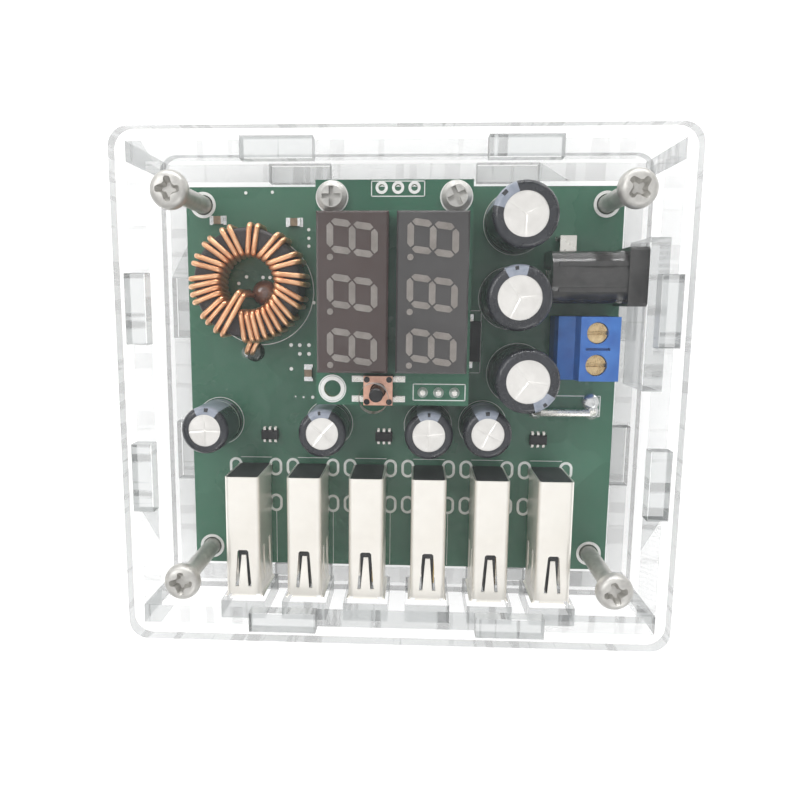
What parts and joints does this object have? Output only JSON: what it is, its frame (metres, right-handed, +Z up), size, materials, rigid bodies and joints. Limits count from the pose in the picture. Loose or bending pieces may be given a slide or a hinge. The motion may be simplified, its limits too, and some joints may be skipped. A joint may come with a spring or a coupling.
{
  "type": "buck converter module",
  "caption": "Step-down power module in a clear screwed case, with edge-standing USB outlets, barrel jack, screw terminal, ring inductor and two small numeric displays.",
  "frame": {"origin": "under the middle of the case's outline, level with the ends of the four case screws", "axes": "+Z up through the lid, -Y out of the USB outlets, +X out of the barrel jack"},
  "size_m": [0.0854, 0.0786, 0.0371],
  "materials": {
    "clear_acrylic": "laser cut, polished faces",
    "zinc_steel": "bright zinc plate",
    "nylon": "moulded",
    "green_board": "solder mask over glass fibre",
    "tinned_shell": "nickel plated sheet",
    "socket_plastic": "moulded",
    "gold_contact": "gold flashed",
    "copper_wire": "enamelled copper",
    "ferrite": "painted powder core",
    "brown_glue": "set glue",
    "aluminium_can": "drawn",
    "dark_sleeve": "shrunk sleeve",
    "jack_plastic": "moulded",
    "tinned_contact": "tin plated",
    "blue_plastic": "moulded",
    "chip_plastic": "moulded",
    "solder": "set solder",
    "small_part": "fired",
    "brass_pillar": "nickel free",
    "red_display": "moulded",
    "blue_display": "moulded",
    "unlit_segment": "cast resin",
    "copper_cover": "pressed sheet",
    "black_plastic": "moulded"
  },
  "bodies": {
    "module": {"bottom_plate": "clear_acrylic", "top_plate": "clear_acrylic", "front_wall": "clear_acrylic", "back_wall": "clear_acrylic", "left_wall": "clear_acrylic", "right_wall": "clear_acrylic", "case_screws": "zinc_steel", "board_spacers": "nylon", "case_nuts": "zinc_steel", "main_board": "green_board", "usb_contacts": "gold_contact", "inductor_core": "ferrite", "inductor_winding": "copper_wire", "inductor_glue": "brown_glue", "large_capacitors": "dark_sleeve", "small_capacitors": "dark_sleeve", "dc_jack_body": "jack_plastic", "dc_jack_pin": "tinned_contact", "dc_jack_contacts": "tinned_contact", "terminal_block": "blue_plastic", "terminal_contacts": "tinned_contact", "charge_chips": "chip_plastic", "switching_regulator": "chip_plastic", "rectifier_diode": "chip_plastic", "chip_leads": "solder", "small_parts": "small_part", "current_shunt": "solder", "solder_joints": "solder", "display_board": "green_board", "display_standoffs": "brass_pillar", "display_screws": "zinc_steel", "display_header_body": "black_plastic", "display_header_pins": "gold_contact", "voltage_display": "red_display", "current_display": "blue_display", "display_segments": "unlit_segment", "button_base": "black_plastic", "button_cover": "copper_cover", "button_dome": "tinned_contact", "button_legs": "tinned_contact", "usb_shell_1": "tinned_shell", "usb_insulator_1": "socket_plastic", "usb_shell_2": "tinned_shell", "usb_insulator_2": "socket_plastic", "usb_shell_3": "tinned_shell", "usb_insulator_3": "socket_plastic", "usb_shell_4": "tinned_shell", "usb_insulator_4": "socket_plastic", "usb_shell_5": "tinned_shell", "usb_insulator_5": "socket_plastic", "usb_shell_6": "tinned_shell", "usb_insulator_6": "socket_plastic"},
    "button": {"button_plunger": "black_plastic"},
    "pole_screw_1": {"terminal_screw_1": "zinc_steel"},
    "pole_screw_2": {"terminal_screw_2": "zinc_steel"},
    "pole_clamp_1": {"terminal_clamp_1": "tinned_contact"},
    "pole_clamp_2": {"terminal_clamp_2": "tinned_contact"}
  },
  "joints": [
    {"name": "button_press", "type": "slide", "parent": "module", "child": "button", "axis": [0, 0, -1], "range_m": [0, 0.00025], "stiffness_N_per_m": 4000},
    {"name": "pole_1_turn", "type": "hinge", "parent": "module", "child": "pole_screw_1", "pos_m": [0.03125, 0.00949, 0.0222], "axis": [0, 0, -1], "range_deg": [0, 1152.5]},
    {"name": "pole_1_lift", "type": "slide", "parent": "module", "child": "pole_clamp_1", "axis": [0, 0, 1], "range_m": [0, 0.0016]},
    {"name": "pole_2_turn", "type": "hinge", "parent": "module", "child": "pole_screw_2", "pos_m": [0.03125, 0.00441, 0.0222], "axis": [0, 0, -1], "range_deg": [0, 1152.5]},
    {"name": "pole_2_lift", "type": "slide", "parent": "module", "child": "pole_clamp_2", "axis": [0, 0, 1], "range_m": [0, 0.0016]}
  ],
  "couplings": [
    {"joint": "pole_1_turn", "follows": "pole_1_lift", "rad_per_m": 12566},
    {"joint": "pole_2_turn", "follows": "pole_2_lift", "rad_per_m": 12566}
  ]
}
